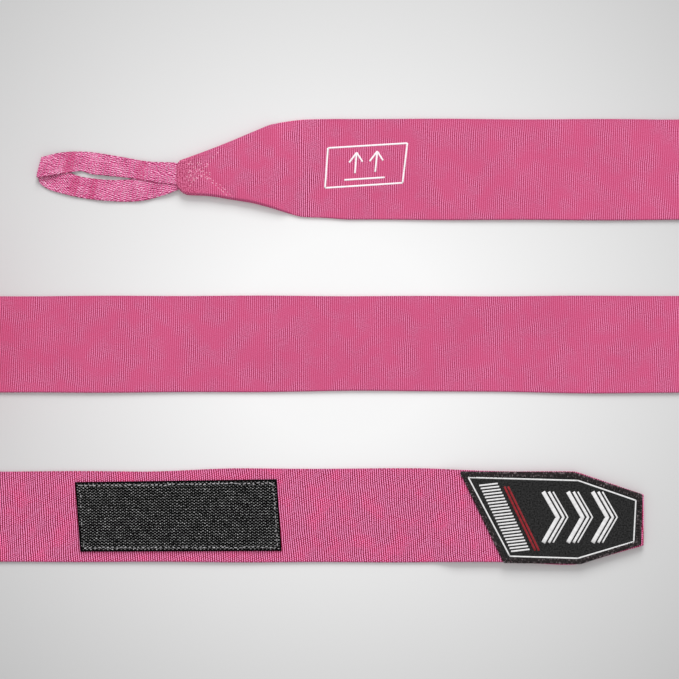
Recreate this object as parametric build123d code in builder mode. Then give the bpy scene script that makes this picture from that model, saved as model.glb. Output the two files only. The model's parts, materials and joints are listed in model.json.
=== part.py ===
from build123d import *

import os
from math import cos, pi, radians, sin, sqrt

os.makedirs("parts", exist_ok=True)

# An elastic hand wrap laid out on a table in three rows. The strap starts at the thumb loop,
# runs right along row 0, folds down to row 1, runs left into a roll that holds the rest of its
# length, leaves the roll on the far side, folds down to row 2 and runs right to the closure tab.
# X runs along the rows, Y across them and Z up. The origin is the middle of the layout on the table.

# ---- Driving dimensions, mm ----
STRAP_LENGTH = 4500.0  # a 180 inch wrap
STRAP_T = 1.0  # elastic weave
TAPE_T = 1.2  # thumb loop tape
LAYER_GAP = 0.3  # between the two layers of a fold
SLIT = 0.3  # between stretches of the strap that bend on each other
SEAM = 0.02  # between the flat row and the roll that it runs into

HALF_LENGTH = 286.0  # of the layout, over its folds
ROW_Y = (88.75, -1.65, -90.95)  # centre lines of the rows
ROW_W = (52.4, 49.6, 48.0)  # the further the strap is pulled out, the narrower it lies

# Where the strap bends: row 0 towards the thumb loop, row 2 towards the closure tab
LOOP_END_HINGES_X = (141.7, 115.7, 89.8, 34.8)
CLOSURE_HINGES_X = (33.7, 54.5, 75.2, 96.0)

ROLL_X = -174.5
HALF_TURNS = 26  # of each of the roll's two strands
CORE_R = 3.0  # of the strands' first half turns
DRAPE_SLOPE = 75.0  # degrees, where the strap leaves the roll for the table
LANDING_R = 18.0
DRAPE_LENGTH = 126.6  # from the top of the roll to the left turn, as printed at the end

TIP_X = -35.8  # of the strap at the thumb loop
TIP_Y = (92.15, 78.9)  # upper and lower corner
LOOP_END_X = -109.0  # far end of the thumb loop
TAB_END_X = 205.6
TAB_END_Y = (-79.6, -106.6)  # upper and lower corner

PATCH_T = 2.0  # loop tape
LABEL_T = 0.9
HOOK_T = 1.6  # hook tape
HOOK_INSET = 1.5  # from the edge of the label above it
PATCH_CORNER_R = 1.0
LABEL_CORNER_R = 1.2

# ---- Values worked out from them ----
FOLD_R = STRAP_T + LAYER_GAP / 2
TURN_X = HALF_LENGTH - FOLD_R * sqrt(0.5)  # outer edge of the strap at a folded turn
TURN_Z = STRAP_T + LAYER_GAP  # underside of a turn's upper layer
TIP_T = 2 * STRAP_T + TAPE_T  # strap, thumb loop tape and folded corners, sewn together
TAB_Z = HOOK_T  # underside of the strap on the hook tape


def top_y(row):
    return ROW_Y[row] + ROW_W[row] / 2


def bottom_y(row):
    return ROW_Y[row] - ROW_W[row] / 2


def crease(side, row, edge):
    """Inner and outer end of a 45 degree crease. side is 1 on the right and -1 on the left.
    edge is 1 on the upper row of a turn and -1 on the lower."""
    inner = (side * (TURN_X - ROW_W[row]), ROW_Y[row] + edge * ROW_W[row] / 2)
    outer = (side * TURN_X, ROW_Y[row] - edge * ROW_W[row] / 2)
    return inner, outer


def bead_section(start, end, outward):
    """Section of the half-round bend of the strap at a crease, bulging towards outward."""
    along = (end[0] - start[0], end[1] - start[1], 0)
    inner_r = LAYER_GAP / 2
    with BuildSketch(Plane(origin=(start[0], start[1], FOLD_R), x_dir=outward, z_dir=along)) as section:
        with BuildLine():
            ThreePointArc((0, -FOLD_R), (FOLD_R, 0), (0, FOLD_R))
            Line((0, FOLD_R), (0, inner_r))
            ThreePointArc((0, inner_r), (inner_r, 0), (0, -inner_r))
            Line((0, -inner_r), (0, -FOLD_R))
        make_face()
    return section.sketch


# ---- The strap's flat stretches, all lying on the table ----
right_upper = crease(1, 0, 1)
right_lower = crease(1, 1, -1)
left_upper = crease(-1, 1, 1)
left_lower = crease(-1, 2, -1)

with BuildPart() as strap_row_thumb:
    with BuildSketch():
        with BuildLine():
            start_x = LOOP_END_HINGES_X[0] + SLIT / 2
            Polyline((start_x, bottom_y(0)), right_upper[1], right_upper[0], (start_x, top_y(0)), close=True)
        make_face()
    extrude(amount=STRAP_T)
strap_row_thumb.part.label = "strap_row_thumb"
export_step(strap_row_thumb.part, "parts/strap_row_thumb.step")

with BuildPart() as strap_row_closure:
    with BuildSketch():
        with BuildLine():
            end_x = CLOSURE_HINGES_X[0] - SLIT / 2
            Polyline((end_x, top_y(2)), left_lower[1], left_lower[0], (end_x, bottom_y(2)), close=True)
        make_face()
    extrude(amount=STRAP_T)
strap_row_closure.part.label = "strap_row_closure"
export_step(strap_row_closure.part, "parts/strap_row_closure.step")

# ---- Folded turns: two 45 degree folds with a short leg between, over the rows ----
for name, side, upper, lower in (
    ("strap_turn_right", 1, right_upper, right_lower),
    ("strap_turn_left", -1, left_upper, left_lower),
):
    with BuildPart() as strap_turn:
        with BuildSketch(Plane.XY.offset(TURN_Z)):
            with BuildLine():
                Polyline(upper[0], upper[1], lower[1], lower[0], close=True)
            make_face()
        extrude(amount=STRAP_T)
        for (inner, outer), edge in ((upper, 1), (lower, -1)):
            crease_length = abs(outer[0] - inner[0]) * sqrt(2)
            extrude(bead_section(inner, outer, (side, edge, 0)), amount=crease_length)
    strap_turn.part.label = name
    export_step(strap_turn.part, f"parts/{name}.step")

# ---- The middle row and the roll, one stretch of strap in two solids that all but touch.
# The strap is pinched in the middle of its spare length and both halves are wound up together.
# Every half turn is an arc about one of two centres, half a pitch above and below the middle, so
# the two strands nest. The pitch follows from the length to be wound.
slope = radians(DRAPE_SLOPE)
rows_length = (
    (TURN_X - ROW_W[0] / 2 - TIP_X)
    + (TURN_X - ROW_W[1] / 2 - ROLL_X)
    + (TURN_X - ROW_W[2] / 2 + TAB_END_X)
    + (ROW_Y[0] - ROW_Y[2])
)
wound_length = STRAP_LENGTH - rows_length - DRAPE_LENGTH
pitch = (wound_length / (2 * pi) - HALF_TURNS * CORE_R) * 2 / (HALF_TURNS * (HALF_TURNS - 1))
last_r = CORE_R + (HALF_TURNS - 1) * pitch
roll_z = STRAP_T / 2 + last_r + pitch / 2
eye_r = (CORE_R - pitch / 2) / 2  # of the S bend at the pinch
STRAP_FACES = (-STRAP_T / 2, STRAP_T / 2)  # either side of the strap's middle surface


def half_turn(side, centre_z, radius):
    """Adds one arc of the roll's section. side is 1 right of the roll's axis and -1 left of it."""
    ThreePointArc(
        (ROLL_X, centre_z + radius),
        (ROLL_X + side * radius, centre_z),
        (ROLL_X, centre_z - radius),
    )


with BuildPart() as strap_middle:
    with BuildSketch():
        with BuildLine():
            start_x = ROLL_X + SEAM
            Polyline((start_x, top_y(1)), right_lower[1], right_lower[0], (start_x, bottom_y(1)), close=True)
        make_face()
    extrude(amount=STRAP_T)
    with BuildSketch(Plane.XZ.offset(-top_y(1))):
        with BuildLine():
            for side in (1, -1):
                for face in STRAP_FACES:
                    half_turn(side, roll_z + side * eye_r, eye_r + face)
                    for turn in range(HALF_TURNS):
                        half_turn(side, roll_z + side * pitch / 2, CORE_R + turn * pitch + face)
            for end_z in (STRAP_T / 2, 2 * roll_z - STRAP_T / 2):
                Line((ROLL_X, end_z + STRAP_FACES[0]), (ROLL_X, end_z + STRAP_FACES[1]))
        make_face()
    extrude(amount=ROW_W[1])
strap_middle.part.label = "strap_middle"
export_step(strap_middle.part, "parts/strap_middle.step")

# The strap goes on over the roll, leaves it steeply and lands on the table
over_r = last_r + pitch
over_z = roll_z - pitch / 2
leave_x = ROLL_X - over_r * sin(slope)
leave_z = over_z + over_r * cos(slope)
bend_z = STRAP_T / 2 + LANDING_R * (1 - cos(slope))
bend_x = leave_x - (leave_z - bend_z) * cos(slope) / sin(slope)
landing_x = bend_x - LANDING_R * sin(slope)

with BuildPart() as strap_drape:
    with BuildSketch(Plane.XZ.offset(-top_y(1))):
        with BuildLine():
            for face in STRAP_FACES:
                shift_x = -face * sin(slope)
                shift_z = face * cos(slope)
                CenterArc((ROLL_X, over_z), over_r + face, 90, DRAPE_SLOPE)
                Line((leave_x + shift_x, leave_z + shift_z), (bend_x + shift_x, bend_z + shift_z))
                CenterArc((landing_x, STRAP_T / 2 + LANDING_R), LANDING_R - face, 270, DRAPE_SLOPE)
            Line((landing_x, 0), (landing_x, STRAP_T))
            top_z = over_z + over_r
            Line((ROLL_X, top_z + STRAP_FACES[0]), (ROLL_X, top_z + STRAP_FACES[1]))
        make_face()
    extrude(amount=ROW_W[1])
strap_drape.part.label = "strap_drape"
export_step(strap_drape.part, "parts/strap_drape.step")

with BuildPart() as strap_tail:
    with BuildSketch():
        with BuildLine():
            Polyline(
                (landing_x, top_y(1)),
                left_upper[0],
                left_upper[1],
                (landing_x, bottom_y(1)),
                close=True,
            )
        make_face()
    extrude(amount=STRAP_T)
strap_tail.part.label = "strap_tail"
export_step(strap_tail.part, "parts/strap_tail.step")

# ---- Stretches that bend on each other ----
for name, hinges_x, row in (
    ("strap_loop_end_1", LOOP_END_HINGES_X[1::-1], 0),
    ("strap_loop_end_2", LOOP_END_HINGES_X[2:0:-1], 0),
    ("strap_closure_end_1", CLOSURE_HINGES_X[0:2], 2),
    ("strap_closure_end_2", CLOSURE_HINGES_X[1:3], 2),
    ("strap_closure_end_3", CLOSURE_HINGES_X[2:4], 2),
):
    middle_x = (hinges_x[0] + hinges_x[1]) / 2
    with BuildPart() as stretch:
        with BuildSketch(Plane((middle_x, ROW_Y[row], 0))):
            Rectangle(hinges_x[1] - hinges_x[0] - SLIT, ROW_W[row])
        extrude(amount=STRAP_T)
    stretch.part.label = name
    export_step(stretch.part, f"parts/{name}.step")

# The strap starts to narrow on its lower edge here, and has lost NARROWED by the last hinge
NARROW_X = 62.0
NARROWED = 1.3
taper_y = bottom_y(0) + NARROWED

with BuildPart() as strap_loop_end_3:
    with BuildSketch():
        with BuildLine():
            first_x = LOOP_END_HINGES_X[3] + SLIT / 2
            last_x = LOOP_END_HINGES_X[2] - SLIT / 2
            Polyline(
                (last_x, top_y(0)),
                (first_x, top_y(0)),
                (first_x, taper_y),
                (NARROW_X, bottom_y(0)),
                (last_x, bottom_y(0)),
                close=True,
            )
        make_face()
    extrude(amount=STRAP_T)
strap_loop_end_3.part.label = "strap_loop_end_3"
export_step(strap_loop_end_3.part, "parts/strap_loop_end_3.step")

# ---- Tapered end: the strap's two corners are folded under, over the end of the loop tape ----
taper_x = LOOP_END_HINGES_X[3] - SLIT / 2
stack_x = 6.0  # the folded corners reach to here
tip_high = (TIP_X, TIP_Y[0])
tip_low = (TIP_X, TIP_Y[1])
shoulder = (stack_x, 109.2)  # the upper edge runs straight from the tip to here
run_in = (shoulder[0] - tip_high[0], shoulder[1] - tip_high[1])  # its direction there
# Places on the lower edge, from the cut corner beside the tip on
cut_corner = (-32.2, 75.6)
low_bend = (-13.5, 74.0)
low_side = (stack_x, 70.5)
low_end = (23.3, 65.6)
# The two folded corners: where their inner edges cross and how far apart they are at stack_x
flap_crossing = (-14.0, 81.9)
upper_flap_y = 102.5
lower_flap_y = 73.5

with BuildPart() as tapered_end:
    with BuildSketch():
        with BuildLine():
            Spline((taper_x, top_y(0)), shoulder, tangents=((-1, 0), (-run_in[0], -run_in[1])))
            Polyline(shoulder, tip_high, tip_low, cut_corner)
            Spline(cut_corner, low_bend, low_side, low_end, (taper_x, taper_y))
            Line((taper_x, taper_y), (taper_x, top_y(0)))
        make_face()
    extrude(amount=TIP_T)
    # From the side: a block over the folded corners, then the strap coming down to the table
    with BuildSketch(Plane.XZ.offset(-ROW_Y[0])):
        with BuildLine():
            Polyline((taper_x, STRAP_T), (taper_x, 0))
            Spline((taper_x, 0), (stack_x, TIP_T - STRAP_T), tangents=((-1, 0), (-1, 0)))
            Polyline(
                (stack_x, TIP_T - STRAP_T),
                (stack_x, 0),
                (TIP_X, 0),
                (TIP_X, TIP_T),
                (stack_x, TIP_T),
            )
            Spline((stack_x, TIP_T), (taper_x, STRAP_T), tangents=((1, 0), (1, 0)))
        make_face()
    extrude(amount=ROW_W[0], both=True, mode=Mode.INTERSECT)
    # The pocket for the tape, open at the tip, with a fold left standing along both edges
    with BuildSketch(Plane.XY.offset(STRAP_T)):
        with BuildLine():
            Polyline(
                (TIP_X, tip_low[1] + STRAP_T),
                (low_bend[0], low_bend[1] + STRAP_T),
                (stack_x, low_side[1] + STRAP_T),
                (stack_x, shoulder[1] - STRAP_T),
                (TIP_X, tip_high[1] - STRAP_T),
                close=True,
            )
        make_face()
    extrude(amount=TAPE_T, mode=Mode.SUBTRACT)
    # No folded corner here: the strap is a single layer
    with BuildSketch():
        with BuildLine():
            Polyline(flap_crossing, (stack_x, lower_flap_y), (stack_x, upper_flap_y), close=True)
        make_face()
    extrude(amount=TIP_T - STRAP_T, mode=Mode.SUBTRACT)
tapered_end.part.label = "tapered_end"
export_step(tapered_end.part, "parts/tapered_end.step")

# ---- Thumb loop: a soft tape whose two ends are sewn together into the tip ----
tail_x = -10.0  # the tape's ends lie between the strap's layers up to here
tail_low_y = tip_low[1] + STRAP_T + SLIT / 2
tail_high_y = tip_high[1] - STRAP_T - SLIT / 2

with BuildPart() as loop_tape_tail:
    with BuildSketch(Plane.XY.offset(STRAP_T)):
        with BuildLine():
            Polyline(
                (TIP_X, tail_low_y),
                (tail_x, tail_low_y),
                (tail_x, tail_high_y),
                (TIP_X, tail_high_y),
                close=True,
            )
        make_face()
    extrude(amount=TAPE_T)
loop_tape_tail.part.label = "loop_tape_tail"
export_step(loop_tape_tail.part, "parts/loop_tape_tail.step")

loop_x = TIP_X - SLIT
loop_flat_x = loop_x - 12.0  # the tape lies on the table from here
loop_upper = ((-51.0, 92.6), (-66.4, 95.2), (-86.2, 97.9), (-102.8, 95.8))
loop_far = (LOOP_END_X, 86.8)
loop_lower = ((-103.5, 79.6), (-92.0, 75.8), (-73.2, 72.8), (-54.0, 73.0))
opening_far = (-90.8, 87.0)  # ends of the gap between the loop's two strands
opening_near = (-60.7, 84.4)
opening_x = (opening_far[0] + opening_near[0]) / 2
opening_y = (86.9, 83.6)  # upper and lower side at its middle

with BuildPart() as thumb_loop:
    with BuildSketch():
        with BuildLine():
            Spline((loop_x, tip_high[1]), *loop_upper, loop_far, *loop_lower, (loop_x, tip_low[1]))
            Line((loop_x, tip_low[1]), (loop_x, tip_high[1]))
        make_face()
        with BuildLine():
            ThreePointArc(opening_far, (opening_x, opening_y[0]), opening_near)
            ThreePointArc(opening_near, (opening_x, opening_y[1]), opening_far)
        make_face(mode=Mode.SUBTRACT)
    extrude(amount=STRAP_T + TAPE_T)
    # From the side: the tape comes out of the tip above the folded corners and lies down
    with BuildSketch(Plane.XZ.offset(-ROW_Y[0])):
        with BuildLine():
            beyond_x = LOOP_END_X - TAPE_T
            Line((loop_x, STRAP_T + TAPE_T), (loop_x, STRAP_T))
            Spline((loop_x, STRAP_T), (loop_flat_x, 0), tangents=((-1, 0), (-1, 0)))
            Polyline((loop_flat_x, 0), (beyond_x, 0), (beyond_x, TAPE_T), (loop_flat_x, TAPE_T))
            Spline((loop_flat_x, TAPE_T), (loop_x, STRAP_T + TAPE_T), tangents=((1, 0), (1, 0)))
        make_face()
    extrude(amount=ROW_W[0], both=True, mode=Mode.INTERSECT)
thumb_loop.part.label = "thumb_loop"
export_step(thumb_loop.part, "parts/thumb_loop.step")

# ---- Closure: loop tape on the strap, and a tab with hook tape below and a label on top ----
# The patch is sewn on a little askew
patch_corners = ((-89.1, -73.7), (15.5, -72.3), (18.0, -108.9), (-86.4, -109.6))

with BuildPart() as loop_patch:
    with BuildSketch(Plane.XY.offset(STRAP_T)) as patch_plan:
        with BuildLine():
            Polyline(*patch_corners, close=True)
        make_face()
        fillet(patch_plan.vertices(), radius=PATCH_CORNER_R)
    extrude(amount=PATCH_T)
loop_patch.part.label = "loop_patch"
export_step(loop_patch.part, "parts/loop_patch.step")

tab_x = CLOSURE_HINGES_X[3] + SLIT / 2
tab_flat_x = 110.0  # the strap is up on the hook tape from here
clip_high_x = 170.0  # the strap's corners are cut off from here to the tab's end
clip_low_x = 176.5

with BuildPart() as strap_tab:
    with BuildSketch():
        with BuildLine():
            Polyline(
                (tab_x, top_y(2)),
                (clip_high_x, top_y(2)),
                (TAB_END_X, TAB_END_Y[0]),
                (TAB_END_X, TAB_END_Y[1]),
                (clip_low_x, bottom_y(2)),
                (tab_x, bottom_y(2)),
                close=True,
            )
        make_face()
    extrude(amount=TAB_Z + STRAP_T)
    # From the side: the strap climbs from the table onto the hook tape
    with BuildSketch(Plane.XZ.offset(-ROW_Y[2])):
        with BuildLine():
            Line((tab_x, STRAP_T), (tab_x, 0))
            Spline((tab_x, 0), (tab_flat_x, TAB_Z), tangents=((1, 0), (1, 0)))
            Polyline(
                (tab_flat_x, TAB_Z),
                (TAB_END_X, TAB_Z),
                (TAB_END_X, TAB_Z + STRAP_T),
                (tab_flat_x, TAB_Z + STRAP_T),
            )
            Spline((tab_flat_x, TAB_Z + STRAP_T), (tab_x, STRAP_T), tangents=((-1, 0), (-1, 0)))
        make_face()
    extrude(amount=ROW_W[2], both=True, mode=Mode.INTERSECT)
strap_tab.part.label = "strap_tab"
export_step(strap_tab.part, "parts/strap_tab.step")

# The label follows the tab's cut corners, with a slanted edge towards the strap
label_corners = (
    (111.0, -68.1),
    (169.3, -67.7),
    (205.0, -80.0),
    (204.4, -106.1),
    (174.6, -114.5),
    (133.4, -114.5),
)

with BuildSketch() as label_outline:
    with BuildLine():
        Polyline(*label_corners, close=True)
    make_face()

with BuildPart() as end_label:
    with BuildSketch(Plane.XY.offset(TAB_Z + STRAP_T)) as label_plan:
        add(label_outline.sketch)
        fillet(label_plan.vertices(), radius=LABEL_CORNER_R)
    extrude(amount=LABEL_T)
end_label.part.label = "end_label"
export_step(end_label.part, "parts/end_label.step")

with BuildPart() as hook_tape:
    with BuildSketch() as hook_plan:
        add(label_outline.sketch)
        offset(amount=-HOOK_INSET)
        fillet(hook_plan.vertices(), radius=LABEL_CORNER_R)
    extrude(amount=HOOK_T)
hook_tape.part.label = "hook_tape"
export_step(hook_tape.part, "parts/hook_tape.step")

drape_run = over_r * slope + (leave_z - bend_z) / sin(slope) + LANDING_R * slope
print("layer pitch", round(pitch, 3), "roll height", round(2 * roll_z, 1))
print("drape length", round(drape_run + landing_x + TURN_X - ROW_W[1] / 2, 1))
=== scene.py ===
import json
from math import ceil, cos, hypot, pi, radians, sin, sqrt

import bpy
import numpy as np
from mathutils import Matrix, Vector


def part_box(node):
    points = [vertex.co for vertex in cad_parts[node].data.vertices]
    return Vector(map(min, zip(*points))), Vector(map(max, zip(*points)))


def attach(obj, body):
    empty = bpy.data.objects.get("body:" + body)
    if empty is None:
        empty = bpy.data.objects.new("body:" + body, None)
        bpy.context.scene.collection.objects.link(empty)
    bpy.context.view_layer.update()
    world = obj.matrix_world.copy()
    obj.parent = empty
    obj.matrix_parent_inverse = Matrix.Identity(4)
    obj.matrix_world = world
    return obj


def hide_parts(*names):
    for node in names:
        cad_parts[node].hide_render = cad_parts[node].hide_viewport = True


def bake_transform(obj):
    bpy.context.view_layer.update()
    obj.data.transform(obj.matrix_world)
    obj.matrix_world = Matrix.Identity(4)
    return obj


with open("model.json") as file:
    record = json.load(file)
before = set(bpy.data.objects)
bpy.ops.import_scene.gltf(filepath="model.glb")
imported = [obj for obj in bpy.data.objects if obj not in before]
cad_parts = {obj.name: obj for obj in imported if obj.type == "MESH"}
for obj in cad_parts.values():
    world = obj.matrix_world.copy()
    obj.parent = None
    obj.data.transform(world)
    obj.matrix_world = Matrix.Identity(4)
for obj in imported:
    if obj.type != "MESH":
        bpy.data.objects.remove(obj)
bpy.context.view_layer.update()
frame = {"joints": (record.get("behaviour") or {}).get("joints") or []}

# An elastic hand wrap laid out on a table in three rows, seen from straight above. Row 0 runs from
# the thumb loop to the right turn, row 1 from there to the roll and on to the left turn, and row 2
# from there to the closure tab. The strap is modelled as a thin closed shell round its middle
# surface. Lengths are in mm until add_mesh turns them into metres.
MM = 0.001
random = np.random.default_rng(11)


# ---- Places and sizes from the frame ----
def box_mm(node):
    """Lowest and highest corner of a CAD node, in mm."""
    return np.array(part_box(node)) / MM


HINGE_X = {joint["name"]: joint["pos_m"][0] / MM for joint in frame["joints"]}
row_boxes = np.array([box_mm(node) for node in ("strap_row_thumb", "strap_tail", "strap_row_closure")])
ROW_BOTTOM, ROW_TOP = row_boxes[:, :, 1].T
ROW_Y = (ROW_BOTTOM + ROW_TOP) / 2
ROW_W = ROW_TOP - ROW_BOTTOM
TURN_X, _, STRAP_T = row_boxes[0, 1]  # outer edge of the strap at a turn, and its thickness
HALF_T = STRAP_T / 2
FOLD_RISE = box_mm("strap_turn_right")[1, 2] - STRAP_T  # from one layer of a turn to the next
TIP_X = box_mm("tapered_end")[0, 0]
TIP_TOP = box_mm("tapered_end")[1, 2]
TAB_END_X, _, TAB_TOP = box_mm("strap_tab")[1]
TAB_Z = TAB_TOP - HALF_T  # middle surface of the strap on the hook tape
PATCH_T = box_mm("loop_patch")[1, 2] - STRAP_T
LABEL_TOP = box_mm("end_label")[1, 2]
HOOK_T = box_mm("hook_tape")[1, 2]

# The roll, as two strands of half turns about two centres half a pitch above and below its middle
HALF_TURNS = 26
CORE_R = 3.0
DRAPE_SLOPE = 75.0  # degrees
LANDING_R = 18.0
ROLL_Z = box_mm("strap_middle")[1, 2] / 2
PITCH = (ROLL_Z - HALF_T - CORE_R) / (HALF_TURNS - 0.5)
LAST_R = CORE_R + (HALF_TURNS - 1) * PITCH
ROLL_X = box_mm("strap_middle")[0, 0] + LAST_R + HALF_T
LANDING_X = box_mm("strap_tail")[1, 0]

BEND = 6.0  # length of strap that takes a joint's bend
RIPPLE = 0.5  # height of the waves that all the cloth shares, so that pieces stay in line


def smooth(value):
    """0 below 0, 1 above 1 and a smooth step between."""
    t = np.clip(value, 0, 1)
    return t * t * (3 - 2 * t)


def ripple(x, y):
    """Height that the strap's waves add, from 0 to RIPPLE, and nothing at the roll."""
    waves = 2 + np.sin(x / 23 + y / 31) + np.sin(x / 61 - y / 17 + 1.3)
    return RIPPLE * waves / 4 * smooth(np.abs(x - ROLL_X) / 45 - 0.3)


def settle(points):
    """The same points, raised by the ripple."""
    raised = np.array(points)
    raised[..., 2] += ripple(raised[..., 0], raised[..., 1])
    return raised


def spaced(start, end, step):
    return np.linspace(start, end, max(2, ceil(abs(end - start) / step) + 1))


def run_along(points):
    """Distance along a line of points to each of them. Lines may be stacked."""
    steps = np.linalg.norm(np.diff(points, axis=-2, prepend=points[..., :1, :]), axis=-1)
    return np.cumsum(steps, axis=-1)


def cubic(at, values, slopes, t):
    """Value at t on the smooth curve that has these values and slopes at at."""
    i = np.clip(np.searchsorted(at, t, side="right") - 1, 0, len(at) - 2)
    width = at[i + 1] - at[i]
    f = np.clip((t - at[i]) / width, 0, 1)
    rest = 1 - f
    ends = values[i] * rest**2 * (1 + 2 * f) + values[i + 1] * f**2 * (3 - 2 * f)
    return ends + width * (slopes[i] * f * rest**2 - slopes[i + 1] * f**2 * rest)


def put_in_scene(name, data):
    thing = bpy.data.objects.new(name, data)
    bpy.context.scene.collection.objects.link(thing)
    return thing


# ---- Meshes ----
def add_mesh(name, points, quads, caps, material, maps):
    """A closed mesh from points in mm. maps gives UV maps as one pair per point."""
    a, b, c, d = np.moveaxis(points[quads], 1, 0)
    faces = quads.tolist() + caps
    if np.sum(a * (np.cross(b, c) + np.cross(c, d))) < 0:  # it would enclose less than nothing
        faces = [face[::-1] for face in faces]
    mesh = bpy.data.meshes.new(name)
    mesh.from_pydata((points * MM).tolist(), [], faces)
    mesh.polygons.foreach_set("use_smooth", [True] * len(faces))
    corners = np.empty(len(mesh.loops), np.int32)
    mesh.loops.foreach_get("vertex_index", corners)
    for map_name, pairs in maps.items():
        layer = mesh.uv_layers.new(name=map_name)
        layer.data.foreach_set("uv", (pairs[corners] * MM).astype(np.float32).ravel())
    mesh.materials.append(material)
    mesh.update()
    return put_in_scene(name, mesh)


def ring_quads(starts, around):
    """Quads between rings of points, each from the ring at a start to the one that follows it."""
    here = np.asarray(starts)[..., None] + np.arange(around)
    beside = np.asarray(starts)[..., None] + np.roll(np.arange(around), -1)
    return np.stack([here, here + around, beside + around, beside], axis=-1).reshape(-1, 4)


EDGE_ANGLES = np.radians((-67.5, -45, -22.5, 0, 22.5, 45, 67.5))  # round the edge of a shell


def shell(name, middle, u, v, material, normals=None, half=HALF_T, edge=None):
    """A closed shell round a grid of middle points, stations along it by columns across it, raised
    by the ripple. Its two long edges are half round. u and v are flat cloth coordinates and edge is
    the distance from the visible edge of the cloth, where the material paints shade along the edge."""
    middle = settle(middle)
    if normals is None:
        normals = np.cross(np.gradient(middle, axis=0), np.gradient(middle, axis=1))
        normals /= np.linalg.norm(normals, axis=2, keepdims=True)
    stations, count = middle.shape[:2]
    rings, columns = [], []
    for face in (1, -1):
        rings.append((middle + face * half * normals)[:, ::face])
        columns.append(np.arange(count)[::face])
        last = columns[-1][-1]
        normal = normals[:, last]
        outward = middle[:, last] - middle[:, last - face]
        outward -= normal * np.sum(outward * normal, axis=1, keepdims=True)
        outward /= np.maximum(np.linalg.norm(outward, axis=1, keepdims=True), 1e-9)
        for angle in EDGE_ANGLES[::-face]:
            point = middle[:, last] + half * (cos(angle) * outward + sin(angle) * normal)
            rings.append(point[:, None])
            columns.append([last])
    points = np.concatenate(rings, axis=1)
    column = np.concatenate(columns)
    around = len(column)
    under = around - len(EDGE_ANGLES) - 1  # the point of a ring that lies under its first one
    cap = [[j, j + 1, under - j - 1, under - j] for j in range(count - 1)]
    cap += [list(range(count - 1, under - count + 2)), [*range(under, around), 0]]
    end = (stations - 1) * around
    caps = [[corner + end for corner in face] for face in cap] + [face[::-1] for face in cap]
    if edge is None:
        edge = half + np.minimum(v - v.min(axis=1, keepdims=True), v.max(axis=1, keepdims=True) - v)
    flat = {"weave": (u, v), "edge": (edge, np.zeros(middle.shape[:2]))}
    maps = {key: np.stack(pair, axis=-1)[:, column].reshape(-1, 2) for key, pair in flat.items()}
    quads = ring_quads(np.arange(stations - 1) * around, around)
    piece = add_mesh(name, points.reshape(-1, 3), quads, caps, material, maps)
    # The two cut ends have sharp edges, so that the shading runs on across a cut
    edges = piece.data.edges
    ends = np.empty(len(edges) * 2, np.int32)
    edges.foreach_get("vertices", ends)
    on_end = (ends < around) | (ends >= end)
    edges.foreach_set("use_edge_sharp", on_end.reshape(-1, 2).all(axis=1))
    return piece


def threads(name, paths, radius, material, sides=5, flat=1.0):
    """One mesh of many closed threads. paths has shape (threads, points, 3), in mm. radius and flat,
    the height of a thread over its width, are one value or one per thread and point."""
    paths = np.array(paths, float)
    count, length, _ = paths.shape
    along = np.gradient(paths, axis=1)
    along /= np.linalg.norm(along, axis=2, keepdims=True)
    side = np.cross(along, (0.03, 0.05, 1.0))
    side /= np.linalg.norm(side, axis=2, keepdims=True)
    up = np.cross(side, along)
    radius, flat = (np.broadcast_to(value, (count, length))[..., None, None] for value in (radius, flat))
    angle = (2 * pi * np.arange(sides) / sides)[:, None]
    circle = np.cos(angle) * side[:, :, None] + flat * np.sin(angle) * up[:, :, None]
    points = (paths[:, :, None] + radius * circle).reshape(-1, 3)
    first = np.arange(count)[:, None] * length * sides
    quads = ring_quads(first + np.arange(length - 1) * sides, sides)
    ring = np.arange(sides)
    caps = (first + ring).tolist() + (first + (length - 1) * sides + ring[::-1]).tolist()
    index = np.broadcast_to(np.arange(count)[:, None] * 10.0, (count, length))
    pairs = np.stack([run_along(paths), index], axis=-1)
    maps = {"weave": np.repeat(pairs.reshape(-1, 2), sides, axis=0)}
    return add_mesh(name, points, quads, caps, material, maps)


def declare_cloth(piece, nodes, slot, u, v, held, rests_on, body=None, with_pieces=()):
    """Hides the CAD nodes that a sheet stands for. body is the one that it rides on, unless it bends
    between two bodies, and the sheet is attached to it. with_pieces are the threads sewn to it, which
    are attached to the same body. slot, u, v, held and rests_on are not used."""
    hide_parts(*nodes)
    for part in (piece, *with_pieces):
        if body:
            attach(part, body)


# ---- Materials ----
def srgb(red, green, blue):
    """A colour from 0 to 255 per channel, as the linear values that shaders take."""
    values = np.array((red, green, blue)) / 255
    linear = np.where(values <= 0.04045, values / 12.92, ((values + 0.055) / 1.055) ** 2.4)
    return (*linear.tolist(), 1.0)


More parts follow.
